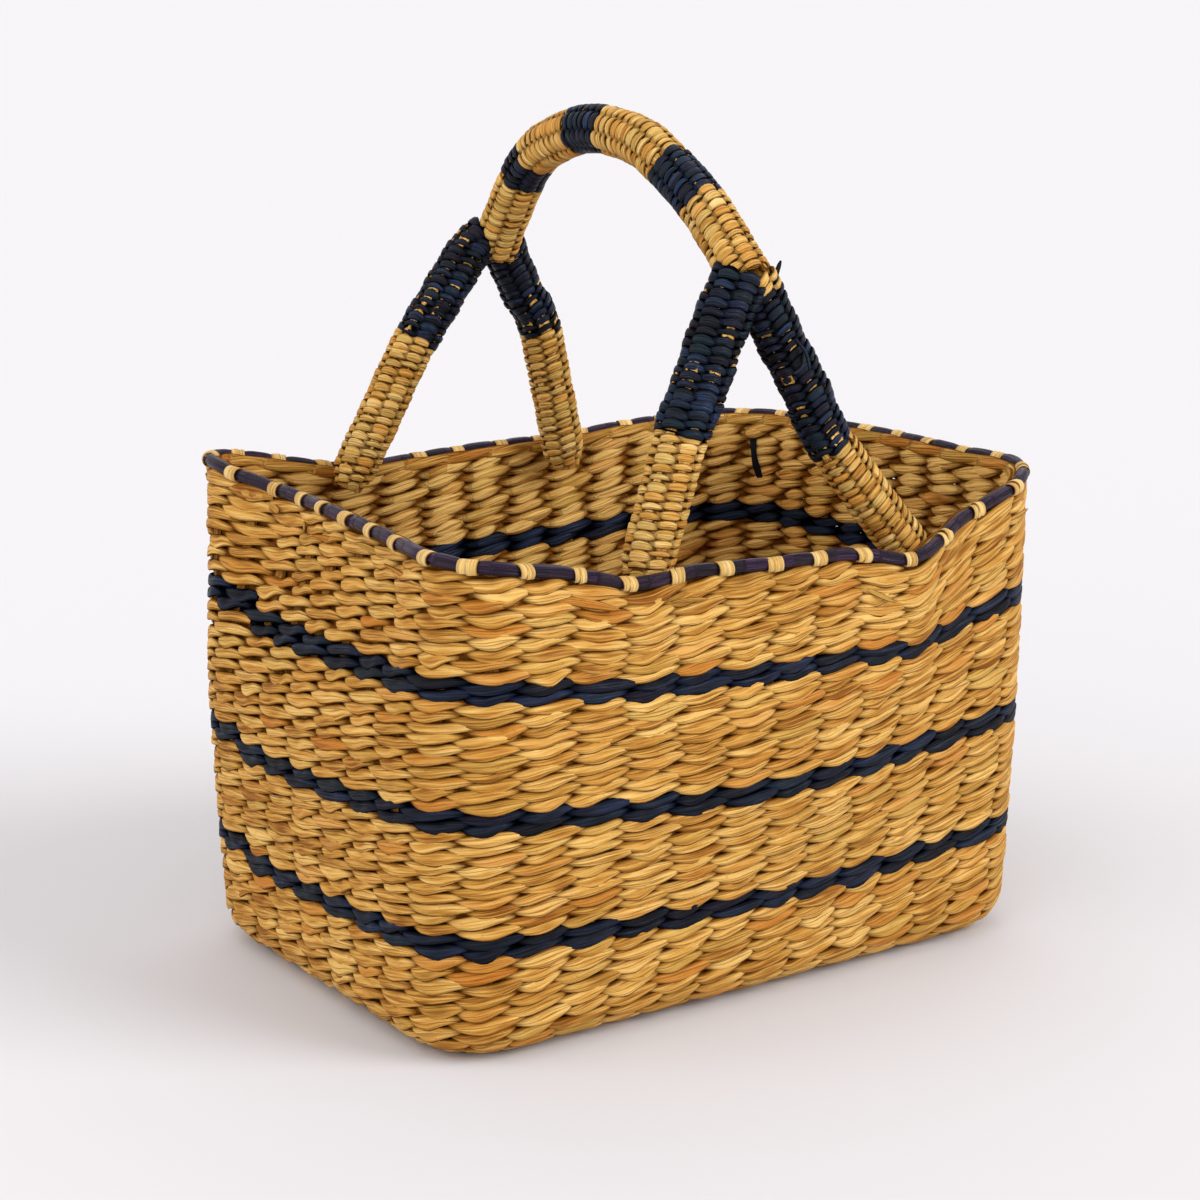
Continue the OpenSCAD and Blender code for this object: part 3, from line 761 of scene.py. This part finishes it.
def lashings():
    """Flat pale strands over the plum roll, two side by side: a thin ribbon along most of a circle
    round the roll, its ends tucked in between the roll and the wall."""
    made = []
    a = np.radians(np.linspace(-80, 232, 26))
    for i in range(ROUND_STAKES):
        place = stake_place(LASH_U[i:i + 1])
        ahead = wall_point(place + 0.01, 1.0) - wall_point(place - 0.01, 1.0)
        per_mm = 0.02 / np.linalg.norm(ahead)
        for part in (-1, 1):
            tuck = 0.9 * smooth(np.abs(a - np.radians(76)) / 2.7 * 4 - 3)
            reach = roll_r * 0.86 + 0.75 + 0.10 * (part + 1) - tuck
            out = roll_out + 0.2 + reach * np.cos(a)
            up = roll_up + 0.1 + reach * np.sin(a)
            shift = part * LASH_WIDTH[i] * 0.20 + LASH_SLANT[i] * np.cos(a)
            s = place + shift * per_mm
            points = rim_line(s, out, up)
            facing = wall_normal(s, 1.0) * np.cos(a)[:, None] + [0, 0, 1.0] * np.sin(a)[:, None]
            grid = strand(points, facing, LASH_WIDTH[i] * 0.32, 0.5, crease=0.15, flat=0.6)
            shade = rng.normal(0, 0.6)
            hue = 0.35 + 0.25 * rng.random()
            made.append(cord(grid, length_along(points), even(shade, s), even(hue, s), even(1.0, s)))
    return made


# Places round the rim where a short end of straw stands off the wall
LOOSE_PLACES = (3.06, 3.2, 3.33, 3.52, 3.7, 3.86, 0.12, 0.38, 0.62, 0.9, 2.2, 2.6, 1.4)


def rim_loose_ends():
    """Short ends of straw left under the roll: each starts inside the wall a little below the rim, runs
    along it and lifts off as a square of its length, with a width that grows and shrinks as a half sine."""
    made = []
    f = np.linspace(0, 1, 12)
    for place in LOOSE_PLACES:
        run = rng.uniform(0.05, 0.11) * rng.choice([-1, 1])
        s = place + run * f
        v = 0.978 - rng.uniform(0, 0.03) + rng.uniform(-0.03, 0.02) * f
        off = wall_t / 2 - 1.6 * (1 - f) ** 2 + rng.uniform(1.0, 4.0) * f ** 2
        normal = wall_normal(s, v)
        points = wall_point(s, v) + normal * np.reshape(off, (-1, 1))
        width = rng.uniform(1.2, 2.6) * (0.15 + 0.85 * np.sin(PI * f) ** 0.6)
        grid = strand(points, normal, width, 0.5, sides=8, crease=0.1, roll=0.5 * f)
        shade = rng.normal(0.4, 0.5)
        hue = rng.random()
        made.append(cord(grid, length_along(points), even(shade, f), even(hue, f), even(1.0, f)))
    return made


make_piece("rim_loose_ends", rim_loose_ends(), straw, "straw")
make_piece("rim_roll_bundle", rim_rolls(), plum_roll, "plum_roll", "rim_roll")
make_piece("rim_filler_twist", rim_fillers(), straw, "straw", "rim_filler")
make_piece("rim_lashing_strands", lashings(), pale_straw, "pale_straw", "rim_lashings")

# ---- Handle ----

wrap_pitch = 2.5  # along the handle for each time round
wrap_stakes = 7
wrap_swing = 1.4  # how far a strand swings in and out between two stakes
wrap_half = 1.1  # half a strand's thickness
wrap_flat = 2.0  # how flat the swing is where it lies on a stake
wrap_samples = 6  # rings to one stake
run_turns = 40  # stakes that share one shade
tuck_angle = 1.2  # over which a wrapping's two ends dive into the bundle
foot_taper = 12.0  # length over which a leg narrows to its foot


class Rod:
    """A path by length: points every half millimetre with a frame square to it, u as near X as it can be."""

    def __init__(self, points):
        t = np.linspace(0, len(points) - 1, 40 * len(points))
        line = open_curve(points, t)
        far = length_along(line)
        self.length = far[-1]
        self.steps_at = lambda step: np.interp(step, t, far)
        self.far = np.arange(0, self.length, 0.5)
        self.line = np.stack([np.interp(self.far, far, line[:, i]) for i in range(3)], 1)
        slope = unit(np.gradient(self.line, axis=0))
        for _ in range(6):
            slope[1:-1] = unit(slope[:-2] + slope[1:-1] * 2 + slope[2:])
        self.slope = slope

    def at(self, far):
        """Point, slope, u and w at a length along the rod, run on straight past its ends."""
        inside = np.clip(far, 0, self.far[-1])
        point = np.stack([np.interp(inside, self.far, self.line[:, i]) for i in range(3)], 1)
        slope = unit(np.stack([np.interp(inside, self.far, self.slope[:, i]) for i in range(3)], 1))
        point = point + slope * (far - inside)[:, None]
        u = unit(np.array([1.0, 0, 0]) - slope * slope[:, :1])
        return point, slope, u, np.cross(slope, u)


def wrap_strand(rod, start, end, radius, foot=False, lumpy=0.0, bow=0.4):
    """One strand woven round a rod: it goes round at an even pitch, passing over one lengthwise stake
    and under the next as a cosine. With seven stakes each round lies opposite to the last one. lumpy
    is how much the bundle swells as a product of sines, bow how far the strand bends over a stake."""
    rounds = (end - start) / wrap_pitch
    a = np.arange(0, rounds * 2 * PI, 2 * PI / wrap_stakes / wrap_samples)
    far = start + a / (2 * PI) * wrap_pitch
    turn = (a * wrap_stakes / (2 * PI) + 0.5).astype(int)
    widths = rng.normal(0, 1, turn[-1] + 2)
    shades = rng.normal(0, 1, turn[-1] + 2)
    hues = rng.random(turn[-1] + 2)
    runs = rng.normal(0, 1, turn[-1] // run_turns + 2)
    far = far + 0.25 * np.interp(a * wrap_stakes / (2 * PI), np.arange(len(widths)), widths)
    point, slope, u, w = rod.at(far)
    out = u * np.cos(a)[:, None] + w * np.sin(a)[:, None]
    swing = np.cos(a * wrap_stakes / 2)
    core = radius - wrap_swing - wrap_half + lumpy * np.sin(far * 0.21) * np.sin(a + far * 0.1)
    if foot:
        core = core * (1 - 0.38 * smooth((far - end + foot_taper) / foot_taper))
    reach = core + wrap_swing * np.tanh(wrap_flat * swing) / np.tanh(wrap_flat)
    reach = reach - 1.5 * (smooth(1 - (a[-1] - a) / tuck_angle) + smooth(1 - a / tuck_angle))
    arch = 0.45 * np.sin(a * wrap_stakes / 2) - bow * swing ** 2
    points = point + out * reach[:, None] + slope * arch[:, None]
    over = np.abs(swing)
    half_width = (1.75 + 0.95 * over) * np.clip(1 + 0.22 * widths[turn], 0.6, 1.5)
    grid = strand(points, out, half_width, wrap_half, sides=8, crease=0.08, roll=0.12 * over, flat=1.0)
    # Depth grows from the bundle's core outward; where it is low the finish paints shade.
    gone = np.linalg.norm(grid - point[:, None], axis=-1) - (core - wrap_swing)[:, None]
    depth = np.clip(0.25 + gone / (2 * wrap_swing + wrap_half) * 0.75, 0, 1)
    shade = 0.7 * shades[turn] + 0.5 * runs[turn // run_turns]
    return cord(grid, length_along(points), shade, hues[turn], depth)


def wrap_stake_strips(rod, start, end, radius, rise=0.0):
    """Seven flat strips along a rod, which the wrapping goes over and under: straight but for a slow
    sine, with widths drawn by chance and smoothed over three rings."""
    made = []
    far = np.arange(start, end, 2.0)
    for i in range(wrap_stakes):
        a = 2 * PI * i / wrap_stakes
        point, slope, u, w = rod.at(far)
        out = u * np.cos(a) + w * np.sin(a)
        core = radius - wrap_swing - wrap_half + rise
        points = point + out * (core + 0.1 * np.sin(far * 1.3 + i))[:, None]
        swell = np.convolve(rng.normal(0, 1, len(far) + 2), [0.4, 0.6, 0.4], "valid")
        grid = strand(points, out, np.clip(2.3 + 1.6 * swell, 0.5, 3.8), 0.8, sides=8)
        shade = rng.normal(0, 0.6)
        made.append(cord(grid, length_along(points), even(shade, far), even(0.5, far), even(1.0, far)))
    return made


def loose_end(points, half_width):
    """A short loose strand along a curve through a few points, tapered as a square root at its tip."""
    f = np.linspace(0, 1, 10)
    line = open_curve(points, f * (len(points) - 1))
    facing = np.broadcast_to([0.0, -1.0, 0.0], line.shape)
    grid = strand(line, facing, half_width * (0.15 + 0.85 * np.sqrt(1 - f ** 3)), 0.6, sides=8, crease=0.1)
    shade = rng.normal(0, 0.5)
    return cord(grid, length_along(line), even(shade, f), even(0.5, f), even(1.0, f))


hoop = Rod(HOOP_LINE)
rods = {leg: Rod([FORK_STARTS[leg]] + route) for leg, route in LEGS.items()}
grip_at = [float(hoop.steps_at(end)) for end in GRIP_ENDS]
for i in range(len(GRIP_ENDS) - 1):
    cords = [wrap_strand(hoop, grip_at[i], grip_at[i + 1], grip_r, lumpy=0.3)]
    if i == len(GRIP_ENDS) - 2:
        # The last strand runs on over the top of the front right leg
        cords.append(wrap_strand(rods["front_right"], -5.0, 5.0, 14.0, bow=-1.0))
    node = f"grip_wrap_{i + 1}"
    if i % 2 == 1:
        make_piece(node + "_weave", cords, navy_wrap, "navy_straw", node)
    else:
        make_piece(node + "_weave", cords, handle_straw, "straw", node)
make_piece("hoop_stakes", wrap_stake_strips(hoop, grip_at[0], grip_at[-1], grip_r), handle_straw, "straw")

# Loose navy ends at the front fork, each as its points and half its width
FRAYED = (
    ([[6, -121, 372], [9, -124, 384], [14, -125, 397]], 2.2),
    ([[24, -133, 350], [20, -136, 343], [13, -137, 340]], 1.2),
    ([[19, -132, 357], [22, -137, 350], [23, -139, 341]], 1.0),
)
leg_stakes = []
fork_nodes = {"front_left": ["front_fork_binding"], "back_left": ["back_fork_binding"]}
for leg in LEGS:
    rod = rods[leg]
    change = float(rod.steps_at(colour_step))
    foot = float(rod.steps_at(foot_step))
    upper_r, lower_r = LEG_R[leg]
    cords = [wrap_strand(rod, 0.0, change, upper_r, lumpy=0.9, bow=1.0)]
    if leg == "front_right":
        cords += [loose_end(points, half_width) for points, half_width in FRAYED]
    lower = wrap_strand(rod, change, foot, lower_r, foot=True, lumpy=0.4)
    nodes = [f"{leg}_leg_upper_wrap"] + fork_nodes.get(leg, [])
    make_piece(f"{leg}_leg_upper_weave", cords, navy_wrap, "navy_straw", *nodes)
    make_piece(f"{leg}_leg_lower_weave", [lower], handle_straw, "straw", f"{leg}_leg_lower_wrap")
    leg_stakes += wrap_stake_strips(rod, 4.0, change, upper_r, rise=0.40)
    leg_stakes += wrap_stake_strips(rod, change, foot - 8, lower_r, rise=0.40)
make_piece("leg_stakes", leg_stakes, handle_straw, "straw")

# ---- Loose end inside the far right corner ----


def tail_strand():
    """A flat dyed strand that comes out between two rows, leans, and goes back in above: it stands off
    the inner face as a half sine."""
    f = np.linspace(0, 1, 16)
    v = 0.872 + 0.088 * f
    s = 1.951 + 0.020 * f + 0.003 * np.sin(PI * f)
    points = wall_point(s, v) - wall_normal(s, v) * (wall_t / 2 - 0.6 + 1.9 * np.sin(PI * f))[:, None]
    grid = strand(points, -wall_normal(s, v), 2.1 + 0.3 * np.sin(7 * f), 0.8, sides=8, crease=0.1)
    return [cord(grid, length_along(points), even(0.0, s), even(0.5, s), even(1.0, s))]


make_piece("inner_tail_strand", tail_strand(), navy_straw, "navy_straw", "inner_tail")

# ---- Stakes and grass bundles, in a straw of their own ----

for name, material in (("cross_stakes", stake_straw), ("long_stakes", stake_straw),
                       ("handle_core_left", core_straw), ("handle_core_right", core_straw)):
    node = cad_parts[name]
    node.data.materials.clear()
    node.data.materials.append(material)

# ---- Floor, light and camera ----

floor_half = 40.0
floor_mesh = bpy.data.meshes.new("floor")
corner_signs = ((-1, -1), (1, -1), (1, 1), (-1, 1))
floor_mesh.from_pydata([(x * floor_half, y * floor_half, 0) for x, y in corner_signs], [], [(0, 1, 2, 3)])
floor = bpy.data.objects.new("floor", floor_mesh)
bpy.context.scene.collection.objects.link(floor)
paper = bpy.data.materials.new("pale_paper")
paper.use_nodes = True
paper_shader = paper.node_tree.nodes["Principled BSDF"]
paper_shader.inputs["Base Color"].default_value = (0.725, 0.712, 0.728, 1)
paper_shader.inputs["Roughness"].default_value = 0.9
paper_shader.inputs["Specular IOR Level"].default_value = 0.0
floor_mesh.materials.append(paper)

scene = bpy.context.scene
scene.view_settings.view_transform = "Standard"
world = bpy.data.worlds.new("studio")
scene.world = world
world.use_nodes = True
sky = world.node_tree.nodes["Background"]
sky.inputs["Color"].default_value = (1.0, 0.965, 0.97, 1)
sky.inputs["Strength"].default_value = 0.63


def aim(place, target):
    """Rotation that points an object's -Z from place to target, with its Y upwards."""
    back = unit(np.array(place, float) - np.array(target, float))
    right = unit(np.cross([0, 0, 1.0], back))
    up = np.cross(back, right)
    turned = Matrix([[*map(float, row), 0] for row in np.stack([right, up, back], 1)] + [[0, 0, 0, 1]])
    return Matrix.Translation([float(x) for x in place]) @ turned


def soft_sun(name, from_point, strength, spread):
    """A very wide sun, as soft as a window, shining from a point towards the basket."""
    lamp = bpy.data.lights.new(name, "SUN")
    lamp.energy = strength
    lamp.angle = spread
    lamp.color = (0.97, 0.99, 1.0)
    thing = bpy.data.objects.new(name, lamp)
    scene.collection.objects.link(thing)
    thing.matrix_world = aim(from_point, (0, 0, 0.15))


soft_sun("left_fill", (-2.0, -0.5, 1.3), 1.75, 1.6)
soft_sun("key", (1.5, -2.0, 1.7), 1.85, 0.6)
soft_sun("back_fill", (1.5, 2.0, 2.0), 0.5, 1.2)

target = np.array([1.5, 20.2, 190.1]) * MM
distance = 1588.57 * MM
yaw = np.radians(-34.4909)
height_angle = np.radians(13.9231)
level = np.cos(height_angle)
back = np.array([np.sin(yaw) * level, -np.cos(yaw) * level, np.sin(height_angle)])
lens = bpy.data.cameras.new("camera")
lens.lens = 83.8
lens.sensor_width = 36
lens.clip_end = 200
camera = bpy.data.objects.new("camera", lens)
scene.collection.objects.link(camera)
camera.matrix_world = aim(target + back * distance, target)
scene.camera = camera
